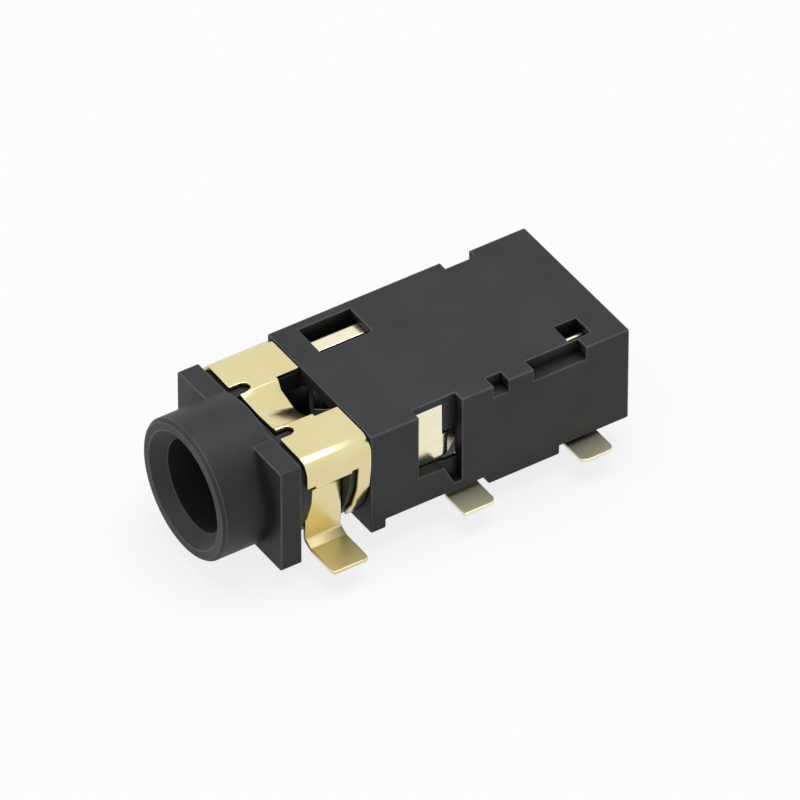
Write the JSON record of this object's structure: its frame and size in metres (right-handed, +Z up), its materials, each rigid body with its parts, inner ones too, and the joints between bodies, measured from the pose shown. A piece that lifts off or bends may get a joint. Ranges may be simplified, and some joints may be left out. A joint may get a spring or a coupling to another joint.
{
  "type": "audio jack socket",
  "caption": "Surface-mount socket for a 3.5 mm audio plug: black moulded block with a round nozzle, gilded sleeve shell, spring contacts and solder feet.",
  "frame": {"origin": "on the circuit board's top face, on the jack's centre plane, midway between the two locating pegs", "axes": "+X from the nozzle's mouth towards the closed rear end, along the bore; +Z up from the board; the side with the long window is -Y"},
  "size_m": [0.0167, 0.0092, 0.0059],
  "materials": {
    "black_plastic": "satin moulded, dark grey-black",
    "gilded_strip": "bright pale gold plating on stamped strip"
  },
  "bodies": {
    "root": {"housing": "black_plastic", "ground_shell": "gilded_strip", "ring_contact": "gilded_strip", "second_ring_contact": "gilded_strip", "tip_contact": "gilded_strip", "switch_contact": "gilded_strip"}
  },
  "joints": []
}
